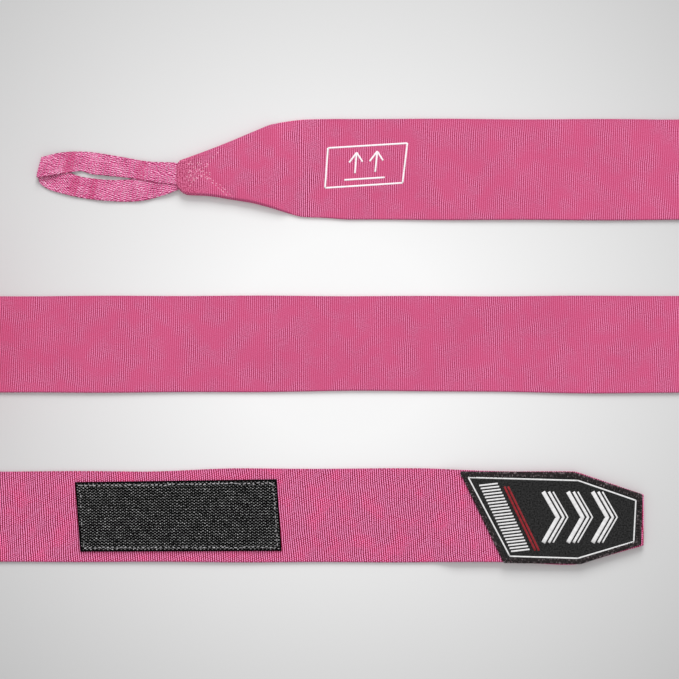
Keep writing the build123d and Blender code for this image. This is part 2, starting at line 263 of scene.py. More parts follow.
class Graph:
    """Adds shader nodes to one material and links them."""

    def __init__(self, name, roughness=0.8, sheen=0.0, sheen_tint=(1, 1, 1, 1), specular=0.3):
        self.material = bpy.data.materials.new(name)
        self.material.use_nodes = True
        self.tree = self.material.node_tree
        self.tree.nodes.clear()
        shader = self.add("BsdfPrincipled")
        self.tree.links.new(shader.outputs[0], self.add("OutputMaterial").inputs["Surface"])
        self.shader = shader.inputs
        self.shader["Roughness"].default_value = roughness
        self.shader["Specular IOR Level"].default_value = specular
        self.shader["Sheen Weight"].default_value = sheen
        self.shader["Sheen Roughness"].default_value = 0.4
        self.shader["Sheen Tint"].default_value = sheen_tint

    def add(self, kind, inputs=None, **settings):
        node = self.tree.nodes.new("ShaderNode" + kind)
        for key, value in settings.items():
            setattr(node, key, value)
        for key, value in (inputs or {}).items():
            self.put(node.inputs[key], value)
        return node

    def put(self, socket, value):
        if isinstance(value, bpy.types.NodeSocket):
            self.tree.links.new(value, socket)
        else:
            socket.default_value = value

    def math(self, operation, *values, clamp=False):
        node = self.add("Math", dict(enumerate(values)), operation=operation, use_clamp=clamp)
        return node.outputs[0]

    def scaled(self, value, factor, plus, clamp=False):
        return self.math("MULTIPLY_ADD", value, factor, plus, clamp=clamp)

    def swayed(self, value, by, amount):
        """value, moved by amount times how far by is from a half."""
        return self.scaled(self.math("SUBTRACT", by, 0.5), amount, value)

    def from_line(self, value, place):
        return self.math("ABSOLUTE", self.math("SUBTRACT", value, place))

    def remap(self, value, low, high, to_low=0.0, to_high=1.0):
        node = self.add("MapRange", {0: value, 1: low, 2: high, 3: to_low, 4: to_high})
        return node.outputs[0]

    def mix(self, factor, first, second):
        node = self.add("Mix", {0: factor, 6: first, 7: second}, data_type="RGBA")
        return node.outputs[2]

    def ramp(self, value, *stops):
        """A colour that goes through stops, each a place from 0 to 1 and a red, green and blue."""
        node = self.add("ValToRGB", {0: value})
        elements = node.color_ramp.elements
        while len(elements) < len(stops):
            elements.new(0.5)
        for element, (place, *colour) in zip(elements, stops):
            element.position = place
            element.color = srgb(*colour)
        return node.outputs[0]

    def noise(self, vector, scale, detail=2.0):
        return self.add("TexNoise", {"Vector": vector, "Scale": scale, "Detail": detail}).outputs[0]

    def wave(self, value, period, phase=0.0):
        """A sine of value with that period, from 0 to 1."""
        return self.scaled(self.math("SINE", self.scaled(value, 2 * pi / period, phase)), 0.5, 0.5)

    def bricks(self, value, pitch):
        """Half a wave's shift from each pitch of value to the next, as in brickwork."""
        return self.math("MULTIPLY", self.math("FLOOR", self.math("DIVIDE", value, pitch)), pi)

    def cloth(self, uv_map="weave"):
        """Flat cloth coordinates in mm: as a vector, along the cloth and across it."""
        uv = self.add("UVMap", uv_map=uv_map).outputs[0]
        vector = self.add("VectorMath", {0: uv, "Scale": 1 / MM}, operation="SCALE").outputs[0]
        split = self.add("SeparateXYZ", {0: vector})
        return vector, split.outputs[0], split.outputs[1]

    def painted_edge_shade(self, colour, width, strength):
        """Adds a darker line along the cloth's edge: painted shade where the edge rounds over to the table.
        It is strongest up to the first distance in width from the edge, and gone at the second."""
        from_edge = self.cloth("edge")[1]
        return self.mix(self.remap(from_edge, *width, strength, 0.0), colour, srgb(140, 66, 100))

    def surface(self, colour, roughness, height, depth):
        """The material, with bumps as high as height says, at most depth mm."""
        bump = self.add("Bump", {"Height": height, "Distance": depth * MM})
        for key, value in (("Base Color", colour), ("Roughness", roughness), ("Normal", bump.outputs[0])):
            self.put(self.shader[key], value)
        return self.material


RIB = 1.08  # pitch of the ribs where the strap lies slack
RIB_OPEN = 1.14
COURSE = 1.09  # pitch of the stitches along a rib
SKEW_LENGTH = 548.0  # along the strap, from where the ribs lean most to where they do again
SKEW_PHASE = -2 * pi * 300 / SKEW_LENGTH  # half way between the least and the most at 300 mm
PULLED_OUT = (4052.0, 4122.0)  # along the strap: slack before the first, pulled out from the second
OPEN_RIBS_X = 31.0  # the ribs of the taper show most here, where it comes down to the table
SLACK = (0.26, 0.76)  # how much the slack strap's ribs show, where least and where most
SLACK_STOPS = ((0.0, 120, 0, 50), (0.5, 210, 84, 128), (1.0, 255, 158, 204))
OPEN_STOPS = ((0.0, 118, 0, 40), (0.5, 234, 66, 122), (1.0, 255, 154, 204))


def strap_material(name, pitch, dots, slant, show, stops, painted_shade_to=None, opens=None):
    """Ribbed elastic weave. pitch is from rib to rib, more where the strap is more stretched. dots is
    how far a rib breaks up into stitches. slant is how far the ribs lie off square, in mm along for
    each mm across, as the least and the most. show is how much the ribs show, where least and where
    most, in the colours of stops. Up to painted_shade_to mm along it the cloth is painted darker and
    its ribs are flattened, as painted shade where the strap curves down at its tip under the seam.
    With opens it is slack before the first of these distances along it, and as the other values say after
    the second."""
    g = Graph(name, sheen=0.08, sheen_tint=srgb(255, 170, 205), specular=0.15)
    vector, along, across = g.cloth()
    drift = g.noise(vector, 0.09, 1.0)
    off_square = g.remap(g.wave(along, SKEW_LENGTH, SKEW_PHASE), 0, 1, *slant)
    bent = g.scaled(drift, 1.2, g.scaled(across, off_square, along))
    rib = g.wave(bent, pitch)
    stitch = g.math("MULTIPLY", rib, g.wave(across, COURSE, g.bricks(bent, pitch)))
    grain = g.noise(vector, 1.5, 2.0)
    weave = g.scaled(rib, 1 - dots, g.math("MULTIPLY", stitch, dots))
    tone = g.swayed(weave, grain, 0.9)
    contrast = g.math("SUBTRACT", tone, 0.5 - dots / 4)
    patches = g.noise(vector, 0.09, 1.5)

    def ribbed(show, stops):
        patchy = g.remap(patches, 0.38, 0.62, *show)
        if painted_shade_to is not None:
            patchy = g.math("ADD", patchy, g.remap(g.from_line(along, OPEN_RIBS_X), 2, 8, 0.45, 0))
        return g.ramp(g.scaled(contrast, patchy, 0.5, clamp=True), *stops)

    colour = ribbed(show, stops)
    if opens is not None:
        colour = g.mix(g.remap(along, *opens), ribbed(SLACK, SLACK_STOPS), colour)
    # Painted shade along the strap's rounded edges
    colour = g.painted_edge_shade(colour, (0.5, 0.9), 0.35)
    shade = g.noise(vector, 0.045, 2.0)
    colour = g.mix(g.remap(shade, 0.35, 0.65, 0.0, 0.06), colour, (0.2, 0.02, 0.07, 1))
    # Painted shade where the strap curves down at its tip: the cloth darkens towards the tip's end
    if painted_shade_to is not None:
        wear_and_shade = g.swayed(along, drift, 5.0)
        painted_shade = g.mix(g.remap(grain, 0.4, 0.62), srgb(132, 20, 64), srgb(232, 124, 162))
        colour = g.mix(g.remap(wear_and_shade, painted_shade_to - 10, painted_shade_to, 0.55, 0.0), colour, painted_shade)
    return g.surface(colour, g.remap(stitch, 0, 1, 0.9, 0.7), tone, 0.09)


# Bands of painted shade across the tape where it bends, each a place along it and a half width
TAPE_SHADE_BANDS = ((46.0, 3.4), (83.5, 3.8), (122.0, 2.8), (132.0, 2.2))
ROW_PITCH = 1.06  # between the rows of stitches that run along the tape
STITCH_PITCH = 3.1  # of the stitches of one row, between those of the rows beside it
TAPE_STOPS = ((0.0, 96, 8, 48), (0.45, 212, 80, 136), (0.7, 240, 138, 184), (1.0, 255, 206, 230))


def knit_material():
    """Soft knitted tape: pale stitches in rows over a deeper pink, each row half a stitch on from
    the next, with darker bands across it, painted shade where the tape bends up and down, given as a place
    along it and a half width."""
    g = Graph("loop_tape_knit", sheen=0.15, sheen_tint=srgb(255, 190, 215), specular=0.2)
    vector, along, across = g.cloth()
    wobble = g.noise(vector, 0.35, 2.0)
    row = g.wave(g.scaled(wobble, 2.4, across), ROW_PITCH)
    stitch = g.wave(g.scaled(wobble, 3.0, along), STITCH_PITCH)
    knit = g.swayed(0.5, row, g.scaled(stitch, 2.0, -1.0))
    tone = g.swayed(knit, g.noise(vector, 1.3, 2.0), 1.1)
    level = g.swayed(g.remap(tone, -0.1, 1.05), g.noise(vector, 0.12, 2.0), 0.5)
    colour = g.ramp(level, *TAPE_STOPS)
    wavering = g.scaled(wobble, 2.0, along)
    # Painted shade across the tape where it bends
    for place, width in TAPE_SHADE_BANDS:
        band = g.remap(g.from_line(wavering, place), width * 0.5, width, 0.42, 0.0)
        colour = g.mix(band, colour, srgb(192, 46, 104))
    # Painted shade along the tape's rounded edges
    colour = g.painted_edge_shade(colour, (0.3, 0.6), 0.3)
    return g.surface(colour, g.remap(knit, 0, 1, 0.85, 0.6), tone, 0.2)


def thread_material(name, colour, shade, roughness=0.6, sheen=0.1, specular=0.3, wear=(0.3, 0.7)):
    """Sewing or embroidery thread with a twist and uneven wear, more so where wear is narrower."""
    g = Graph(name, sheen=sheen, specular=specular)
    vector, along, across = g.cloth()
    twist = g.wave(g.scaled(across, 0.7, along), 0.5)
    wear_and_shade = g.noise(vector, 0.6, 3.0)
    tone = g.scaled(twist, 0.2, g.remap(wear_and_shade, *wear, 0.0, 0.8))
    rough = g.remap(wear_and_shade, 0.3, 0.7, roughness, roughness + 0.2)
    return g.surface(g.mix(tone, srgb(*shade), srgb(*colour)), rough, twist, 0.04)


def pile_material():
    """Black loop pile with grey and white painted highlights on the yarn, where it catches the light."""
    g = Graph("black_loop_pile", sheen=0.02, specular=0.08)
    vector = g.cloth()[0]
    fibre = g.noise(vector, 0.7, 3.0)
    patchy = g.remap(g.noise(vector, 0.06, 2.0), 0.3, 0.7, 0.6, 1.0)
    tone = g.math("MULTIPLY", g.remap(fibre, 0.35, 0.68), patchy)
    # Painted highlights: the light end of this ramp goes up to white
    colour = g.ramp(tone, (0.0, 2, 2, 2), (0.45, 146, 146, 146), (1.0, 255, 255, 255))
    return g.surface(colour, g.remap(fibre, 0.3, 0.7, 0.5, 0.75), fibre, 0.1)


def nylon_material(name, dark, light):
    """Woven nylon ground of the hook and loop tapes and the label."""
    g = Graph(name, sheen=0.01, specular=0.04)
    vector, along, across = g.cloth()
    warp = g.wave(along, WARP)
    weft = g.wave(across, WEFT, g.bricks(along, WARP))
    grain = g.noise(vector, 1.3, 3.0)
    threads_seen = g.scaled(warp, 0.12, g.math("MULTIPLY", weft, 0.12))
    tone = g.math("ADD", g.remap(grain, 0.32, 0.68, 0.0, 0.8), threads_seen)
    rough = g.remap(grain, 0.3, 0.7, 0.65, 0.9)
    return g.surface(g.mix(tone, srgb(*dark), srgb(*light)), rough, tone, 0.06)


def print_material():
    """Rubbery white print on the weave, slightly cracked by the ribs below it."""
    g = Graph("white_print", specular=0.4)
    vector, along, _ = g.cloth()
    wear_and_shade = g.noise(vector, 1.3, 3.0)
    tone = g.scaled(wear_and_shade, 0.9, g.math("MULTIPLY", g.wave(along, RIB), 0.2))
    colour = g.mix(g.remap(tone, 0.28, 0.5), srgb(244, 196, 216), srgb(254, 250, 252))
    return g.surface(colour, g.remap(wear_and_shade, 0.3, 0.7, 0.45, 0.65), tone, 0.04)


WARP, WEFT = 0.62, 0.5  # pitches of the nylon ground's threads
LEAN = (-0.05, 0.05)
strap_weave = strap_material("strap_weave", RIB, 0.2, LEAN, SLACK, SLACK_STOPS)
strap_weave_open = strap_material(
    "strap_weave_open", RIB_OPEN, 0.6, (0.01, 0.09), (1.6, 4.2), OPEN_STOPS, opens=PULLED_OUT
)
# Its cloth is painted darker near the tip's end, as painted shade
strap_weave_tip = strap_material(
    "strap_weave_tip", RIB, 0.25, LEAN, (0.26, 0.95), SLACK_STOPS, painted_shade_to=TIP_X + 16
)
knit = knit_material()
pile = pile_material()
nylon = nylon_material("black_nylon_ground", (1, 1, 1), (10, 10, 10))
hook_ground = nylon_material("hook_tape_ground", (6, 6, 6), (38, 38, 40))
hook_nylon = nylon_material("hook_nylon", (44, 44, 46), (150, 150, 154))
label_cloth = nylon_material("label_cloth", (6, 6, 6), (60, 60, 60))
white_thread = thread_material("white_thread", (252, 252, 252), (214, 212, 213))
red_thread = thread_material("red_thread", (176, 38, 48), (96, 16, 24))
grey_thread = thread_material("grey_thread", (216, 214, 216), (120, 118, 121))
pink_thread = thread_material("pink_thread", (255, 206, 224), (236, 126, 170))
black_thread = thread_material(
    "black_thread", (150, 138, 140), (0, 0, 0), roughness=0.7, sheen=0.02, specular=0.04, wear=(0.52, 0.7)
)
white_print = print_material()


# ---- The stage: camera, floor and light ----
VIEW_WIDTH = 352.5
VIEW_X, VIEW_Y = 48.0, 0.55  # the middle of the view
LENS = 150.0
SENSOR = 36.0
FLOOR_HALF = 5.0  # m
# Tones of the table from the middle of the view out, a painted pool of light
PAINTED_FLOOR_LIGHT = ((0.0, 247), (0.2, 246), (0.32, 239), (0.94, 197), (1.0, 195))  # from the middle out
PAINTED_FLOOR_LIGHT_R = VIEW_WIDTH * 0.75  # distance of the last tone from the middle
KEY_PLACE = (0.25, 2.45, 1.6)  # m, aimed at KEY_AIM
KEY_AIM = (0.05, 0, 0)

camera_data = bpy.data.cameras.new("camera")
camera_data.lens = LENS
camera_data.sensor_width = SENSOR
camera_data.clip_start = 0.01
camera_data.clip_end = 20
camera = put_in_scene("camera", camera_data)
camera.location = (VIEW_X * MM, VIEW_Y * MM, VIEW_WIDTH * LENS / SENSOR * MM)
bpy.context.scene.camera = camera


def table_top():
    """A pale table whose tone falls off from the middle of the view: a pool of light painted on it."""
    mesh = bpy.data.meshes.new("table_top")
    plan = [(x, y, 0) for x, y in ((-1, -1), (1, -1), (1, 1), (-1, 1))]
    mesh.from_pydata((np.array(plan) * FLOOR_HALF).tolist(), [], [(0, 1, 2, 3)])
    table = put_in_scene("table_top", mesh)
    table.location = (VIEW_X * MM, VIEW_Y * MM, -0.0001)
    g = Graph("pale_table", roughness=0.9, specular=0.0)
    place = g.add("TexCoord").outputs["Object"]
    distance = g.add("VectorMath", {0: place}, operation="LENGTH").outputs["Value"]
    share = g.math("DIVIDE", distance, PAINTED_FLOOR_LIGHT_R * MM, clamp=True)
    g.put(g.shader["Base Color"], g.ramp(share, *((at, tone, tone, tone) for at, tone in PAINTED_FLOOR_LIGHT)))
    mesh.materials.append(g.material)
    return table


floor = table_top()
world = bpy.data.worlds.new("studio")
world.use_nodes = True
world.node_tree.nodes["Background"].inputs[0].default_value = (1, 1, 1, 1)
world.node_tree.nodes["Background"].inputs[1].default_value = 0.66
bpy.context.scene.world = world
key_data = bpy.data.lights.new("key", "AREA")
key_data.size = 1.4
key_data.energy = 61.5
key = put_in_scene("key", key_data)
key.location = KEY_PLACE
key.rotation_mode = "QUATERNION"
key.rotation_quaternion = (Vector(KEY_AIM) - Vector(KEY_PLACE)).to_track_quat("-Z", "Y")
bpy.context.scene.view_settings.view_transform = "Standard"


# ---- The strap: flat rows ----
COLUMNS = np.sin(np.linspace(-pi / 2, pi / 2, 25))  # -1 to 1 across the strap, closer at its edges
SHARES = (COLUMNS + 1) / 2
FOLD_ARC = pi * FOLD_RISE / 2  # length of strap in the half round bend at a crease
CREASE_X = TURN_X - FOLD_ARC / sqrt(2) + 0.45  # further in than TURN_X, because the bends push out
SEAM_MARGIN = 1.5  # from a crease to where the piece with the crease ends

# Outline of the taper and of the closure tab
TAPER_HIGH = (
    (TIP_X, 93.2), (-14.0, 101.3), (6.0, 109.4), (12.4, 111.9), (20.0, 113.3), (30.0, 114.5),
    (46.0, ROW_TOP[0]),
)
TAPER_LOW = (
    (TIP_X, 79.4), (-33.4, 76.6), (-30.5, 75.4), (-20.0, 74.8), (-9.0, 73.1), (2.0, 71.4),
    (12.0, 68.9), (22.0, 65.9), (29.0, 64.2), (40.0, 63.6), (52.0, ROW_BOTTOM[0]),
)
TAB_HIGH = ((167.8, ROW_TOP[2]), (TAB_END_X, -79.8))
TAB_LOW = ((175.0, ROW_BOTTOM[2]), (TAB_END_X, -106.2))
ROUNDING = 1.6  # of the tip's upper corner
TAB_SOFTNESS = 0.6  # of the corners where the tab starts to narrow


def line_y(ends, x):
    (x0, y0), (x1, y1) = ends
    return y0 + (y1 - y0) * (x - x0) / (x1 - x0)


def line_x(ends, y):
    return line_y([end[::-1] for end in ends], y)


def curve_y(points, x):
    """Y on a smooth curve through a few points whose x grows, level outside them. It has no bulges
    between the points."""
    at, y = np.array(points, float).T
    chords = np.diff(y) / np.diff(at)
    before, after = chords[:-1], chords[1:]
    level = before * after <= 0
    middle = np.where(level, 0, 2 * before * after / np.where(level, 1, before + after))
    return cubic(at, y, np.concatenate([chords[:1], middle, chords[-1:]]), x)


def soft_least(first, second, softness):
    """The smaller of two values, with the change from one to the other rounded."""
    gap = np.clip(0.5 + (second - first) / (2 * softness), 0, 1)
    return second + (first - second) * gap - softness * gap * (1 - gap)


def edge_wobble(x, phase):
    return 0.12 * np.sin(x / 13 + phase) + 0.1 * np.sin(x / 37 + 2 * phase)


def top_edge(row, x):
    edge = ROW_TOP[row] + edge_wobble(x, row)
    if row == 0:
        corner = np.clip(1 - (x - TIP_X) / ROUNDING, 0, 1)
        edge = edge + curve_y(TAPER_HIGH, x) - ROW_TOP[row]
        edge = edge - ROUNDING * (1 - np.sqrt(1 - corner**2))
    if row == 2:  # the closure row is widest in its middle
        edge = edge + 0.6 - 1.6 * smooth((np.abs(x - 43) - 45) / 55)
        edge = soft_least(edge, line_y(TAB_HIGH, x), TAB_SOFTNESS)
    return edge


def bottom_edge(row, x):
    edge = ROW_BOTTOM[row] + edge_wobble(x, row + 3)
    if row == 0:
        edge = edge + curve_y(TAPER_LOW, x) - ROW_BOTTOM[row]
    if row == 1:  # wider at both sides of the view, and narrowest between
        wider = 0.5 - 0.9 * np.exp(-(((x - 75) / 55) ** 2)) + 0.5 * smooth((x - 130) / 60)
        edge = edge - wider * smooth((x + 190) / 50) * smooth((248 - x) / 30)
    if row == 2:  # and sags a little under the label
        edge = edge - 1.3 * np.exp(-(((x - 166) / 18) ** 2))
        edge = -soft_least(-edge, -line_y(TAB_LOW, x), TAB_SOFTNESS)
    return edge


def flat_rows(row, centre_x, lean=0.0):
    """Middle surface of a flat stretch. Each station crosses the row's centre line at centre_x and
    leans lean mm along the row for each mm across it."""
    offset = COLUMNS * (ROW_W[row] / 2 - HALF_T)
    x = centre_x[:, None] + np.reshape(lean, (-1, 1)) * offset
    high = top_edge(row, x) - HALF_T
    low = bottom_edge(row, x) + HALF_T
    return np.stack([x, low + (high - low) * SHARES, np.full_like(x, HALF_T)], axis=-1)


def leaning(centre_x, cut_x, lean, over=80.0):
    """Lean of each station: none far from a turn, and lean at the cut beside it."""
    return lean * smooth(1 - np.abs(centre_x - cut_x) / over)


# ---- The strap: folded turns ----
def fold(points, corner, outward, rise):
    """Folds a flat stretch over at the crease through corner. What lies beyond it, on the side that
    outward points to, goes round a half circle and comes back above, or below if rise is negative."""
    radius = abs(rise) / 2
    outward = np.array(outward)
    beyond = (points[..., :2] - corner) @ outward
    turned = np.clip(beyond / radius, 0, pi)
    past = np.maximum(beyond - pi * radius, 0)
    shift = radius * np.sin(turned) - past - np.maximum(beyond, 0)
    folded = points.copy()
    folded[..., :2] += shift[..., None] * outward
    folded[..., 2] += rise / 2 * (1 - np.cos(turned))
    return folded


DIAGONAL = sqrt(0.5)
LEG_SAG = 1.0  # how far the leg of a turn sinks between its rows


class Turn:
    """The two 45 degree folds that take the strap from one row to the next, and the leg between
    them. s is the distance along the flat strap, equal to x on the upper row of a right turn. A left
    turn is the same, mirrored."""

    def __init__(self, upper, side):
        self.side = side
        self.upper_w, self.lower_w = ROW_W[upper : upper + 2]
        self.upper_y, self.lower_y = ROW_Y[upper : upper + 2]
        self.step = self.upper_y - self.lower_y
        self.first = CREASE_X - self.upper_w / 2
        self.second = self.first + self.step
        self.arc = FOLD_ARC * sqrt(2)
        # x and s add up to this on the lower row
        self.total = 2 * CREASE_X + self.step - (self.upper_w + self.lower_w) / 2 + self.arc

    def start_x(self):
        return self.side * (self.first - SEAM_MARGIN)

    def end_x(self):
        return self.side * (self.total - self.second - self.arc - SEAM_MARGIN)

    def surface(self):
        """Middle surface with its flat coordinates s and offset across the strap."""
        first_end, second_end = self.first + self.arc, self.second + self.arc
        stretches = [
            np.linspace(self.first - SEAM_MARGIN, self.first, 3),
            np.linspace(self.first, first_end, 13),
            spaced(first_end, self.second, 1.5),
            np.linspace(self.second, second_end, 13),
        ]
        after = np.linspace(second_end, second_end + SEAM_MARGIN, 3)
        s = np.concatenate([*(stretch[:-1] for stretch in stretches), after])[:, None]
        leg = smooth((s - first_end - 1) / (self.step - self.arc - 2))
        width = self.upper_w + (self.lower_w - self.upper_w) * leg
        offset = COLUMNS * (width / 2 - HALF_T)
        flat_x = s + (2 * leg - 1) * offset
        points = np.stack([flat_x, self.upper_y + offset, np.full_like(flat_x, HALF_T)], axis=-1)
        corner = (CREASE_X - self.upper_w, self.upper_y + self.upper_w / 2)
        points = fold(points, corner, (DIAGONAL, DIAGONAL), FOLD_RISE)
        points[..., 0] += (self.upper_w - width) / 2
        corner = (CREASE_X, self.lower_y + self.lower_w / 2)
        points = fold(points, corner, (DIAGONAL, -DIAGONAL), -FOLD_RISE)
        points[..., 2] -= self.sag(points)
        points[..., 0] *= self.side
        return points, flat_x, offset

    def sag(self, points):
        """How far the leg sinks between the two rows, where nothing is under it."""
        high = self.upper_y - self.upper_w / 2
        low = self.lower_y + self.lower_w / 2
        share = np.clip((high - points[..., 1]) / (high - low), 0, 1)
        on_leg = points[..., 2] > HALF_T + FOLD_RISE * 0.9
        return LEG_SAG * np.sin(pi * share) ** 2 * on_leg


right_turn = Turn(0, 1)
left_turn = Turn(1, -1)


# ---- The strap: the roll and the drape off it ----
def roll_arcs():
    """The strap's way through the roll and down to the table, as arcs in the XZ plane: centre,
    radius, first angle and sweep in degrees. Two arcs that don't meet have a straight run between."""
    inward, outward = [], []
    for turn in range(HALF_TURNS):
        side = 1 if turn % 2 else -1
        radius = CORE_R + turn * PITCH
        inward.insert(0, ((ROLL_X, ROLL_Z - side * PITCH / 2), radius, -90 * side, -180))
        outward.append(((ROLL_X, ROLL_Z + side * PITCH / 2), radius, -90 * side, 180))
    eye_r = (CORE_R - PITCH / 2) / 2
    eye = [((ROLL_X, ROLL_Z + side * eye_r), eye_r, -90, 180 * side) for side in (-1, 1)]
    over = ((ROLL_X, ROLL_Z - PITCH / 2), LAST_R + PITCH, 90, DRAPE_SLOPE)
    landing = ((LANDING_X, HALF_T + LANDING_R), LANDING_R, DRAPE_SLOPE - 90, -DRAPE_SLOPE)
    return [*inward, *eye, *outward, over, landing]


def roll_path():
    """Points of the strap's middle line through the roll, x and z."""
    path = []
    for centre, radius, first, sweep in roll_arcs():
        count = max(9, ceil(radians(abs(sweep)) * radius / 6.5) + 1)
        angle = np.radians(np.linspace(first, first + sweep, count))
        arc = centre + radius * np.stack([np.cos(angle), np.sin(angle)], axis=1)
        if path:
            gap = hypot(*(path[-1][-1] - arc[0]))
            if gap > 1:  # the straight run down to the table
                path.append(np.linspace(path[-1][-1], arc[0], 8)[1:-1])
            elif gap < 0.01:  # the arcs share a point
                arc = arc[1:]
        path.append(arc)
    return np.concatenate(path)


def middle_strap():
    """From the right turn along row 1, through the roll and on to the left turn."""
    right_x = right_turn.end_x()
    left_x = left_turn.start_x()
    row_x = spaced(right_x, ROLL_X, 3.0)
    row = flat_rows(1, row_x, leaning(row_x, right_x, 1.0))
    tail_x = spaced(LANDING_X, left_x, 1.5)
    tail = flat_rows(1, tail_x, leaning(tail_x, left_x, 1.0, over=LANDING_X - left_x))
    x, z = roll_path()[1:-1, :, None].transpose(1, 0, 2)
    run = run_along(np.hstack([x, z]))[:, None]
    slack = smooth(run / 60) * smooth((run[-1] - run) / 60)
    shift = slack * (0.5 * np.sin(run / 95) + 0.35 * np.sin(run / 41))
    high = top_edge(1, ROLL_X) - HALF_T
    low = bottom_edge(1, ROLL_X) + HALF_T
    y = shift + low + (high - low) * SHARES
    wound = np.stack(np.broadcast_arrays(x, y, z), axis=-1)
    middle = np.concatenate([row, wound, tail])
    centre = middle[:, [len(COLUMNS) // 2]]
    u_centre = right_turn.total - right_x + run_along(centre[:, 0])
    u = u_centre[:, None] - (middle[..., 0] - centre[..., 0])
    v = ROW_Y[1] - middle[..., 1]
    piece = shell("strap_middle_cloth", middle, u, v, strap_weave)
    nodes = ["strap_middle", "strap_drape", "strap_tail"]
    declare_cloth(piece, nodes, "elastic_weave", u, v, "folded", floor, "root")
    return u_centre[-1]


def turn_piece(name, turn, node, u_first, v_sign):
    points, s, offset = turn.surface()
    u = u_first + s - (turn.first - SEAM_MARGIN)
    v = v_sign * offset
    piece = shell(name, points, u, v, strap_weave)
    declare_cloth(piece, [node], "elastic_weave", u, v, "folded", floor, "root")


u_at_left = middle_strap()
turn_piece("strap_turn_right_cloth", right_turn, "strap_turn_right", right_turn.first - SEAM_MARGIN, 1)
turn_piece("strap_turn_left_cloth", left_turn, "strap_turn_left", u_at_left, -1)
# On row 2 the distance along the strap is x plus this
u_row_2 = u_at_left - left_turn.start_x() * left_turn.side + left_turn.total


# ---- The strap: pieces that bend at a hinge ----
def bend_at(piece):
    """Bakes the piece's transform into its mesh."""
    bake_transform(piece)


def bend_stations(x_from, x_to, hinge, toward, coarse=3.0):
    """Stations of a stretch that bends, close together where it does."""
    low, high = sorted((HINGE_X[hinge], HINGE_X[hinge] + toward * BEND))
    before, after = spaced(x_from, low, coarse), spaced(high, x_to, coarse)
    return np.concatenate([before[:-1], spaced(low, high, 0.5), after[1:]])


def row_pieces(row, toward, near, material, pieces):
    """The pieces of a row from the turn at near outwards, each with its name, hinge, the body that
    it bends to, its CAD nodes and where it ends. The strap leans only beside the turn."""
    turn_x, parent = near, "root"
    for name, hinge, child, nodes, far in pieces:
        x = bend_stations(min(near, far), max(near, far), hinge, toward)
        middle = flat_rows(row, x, leaning(x, turn_x, -1.0))
        u = middle[..., 0] + (u_row_2 if row == 2 else 0)
        v = middle[..., 1] - ROW_Y[row]
        piece = shell(name, middle, u, v, material)
        bend_at(piece)
        declare_cloth(piece, nodes, "elastic_weave", u, v, "laid", floor)
        near, parent = far, child


def half_way(first, second):
    """Pieces are cut half way between their hinges, where the strap doesn't bend."""
    return (HINGE_X[first] + HINGE_X[second]) / 2


TIP_CUT_X = HINGE_X["loop_end_curl_4"] + 3.6
TAB_CUT_X = half_way("closure_curl_3", "tab_fold")
THUMB_ROW = (
    ("strap_thumb_row_cloth", "loop_end_curl", "loop_end_1", ["strap_row_thumb"],
     half_way("loop_end_curl", "loop_end_curl_2")),
    ("strap_curl_1_cloth", "loop_end_curl_2", "loop_end_2", ["strap_loop_end_1"],
     half_way("loop_end_curl_2", "loop_end_curl_3")),
    ("strap_curl_2_cloth", "loop_end_curl_3", "loop_end_3", ["strap_loop_end_2", "strap_loop_end_3"],
     TIP_CUT_X),
)
CLOSURE_ROW = (
    ("strap_closure_row_cloth", "closure_curl", "closure_1", ["strap_row_closure"],
     half_way("closure_curl", "closure_curl_2")),
    ("strap_closure_curl_1_cloth", "closure_curl_2", "closure_2", ["strap_closure_end_1"],
     half_way("closure_curl_2", "closure_curl_3")),
    ("strap_closure_curl_2_cloth", "closure_curl_3", "closure_3",
     ["strap_closure_end_2", "strap_closure_end_3"], TAB_CUT_X),
)
row_pieces(0, -1, right_turn.start_x(), strap_weave, THUMB_ROW)
row_pieces(2, 1, left_turn.end_x(), strap_weave_open, CLOSURE_ROW)

# ---- The tapered tip: the strap's corners are turned under, over the ends of the thumb loop ----
TAPER_END_X = 34.65  # the strap comes down to the table here
STACK_X = 6.0  # and is up on its own corners from here
POCKET_APEX = (-14.0, 81.9)  # where the edges of the two corners cross underneath
CORNER_SLOPES = {1: 1.03, -1: -0.42}  # of those edges, upper and lower
UNDER_FROM_X = {1: 18.0, -1: 24.0}  # the upper and lower edge start to turn under here
FLAP_FROM_X = 12.0  # and reach in under the tip from here
CREASE_DIP = 0.3  # the sewing pulls the strap down a little
SEAM_LINE = ((-26.9, 90.2), (-7.9, 75.2))  # of the stitches across the tip
OTHER_SEAMS = (
    ((-18.4, 82.0), (-9.6, 74.9)), ((-30.0, 79.5), (-23.4, 88.0)), ((-22.5, 89.2), (-14.5, 98.0)),
)


def tip_rise(x):
    return (TIP_TOP - STRAP_T) * smooth((TAPER_END_X - x) / (TAPER_END_X - STACK_X))


def seam_dip(x, y):
    """How far the stitched line across the tip is pulled down."""
    start, end = np.array(SEAM_LINE)
    along = (end - start) / np.linalg.norm(end - start)
    aside = (x - start[0]) * along[1] - (y - start[1]) * along[0]
    return CREASE_DIP * np.exp(-((aside / 1.3) ** 2)) * smooth((4 - x) / 6)


def under_edge(x, side):
    """Y of the edge of the corner that lies underneath, upper for side 1 and lower for -1."""
    crossing = POCKET_APEX[1] + np.maximum(POCKET_APEX[0] - x, 0) * 0.165
    return crossing + CORNER_SLOPES[side] * np.maximum(x - POCKET_APEX[0], 0) + side * 0.15


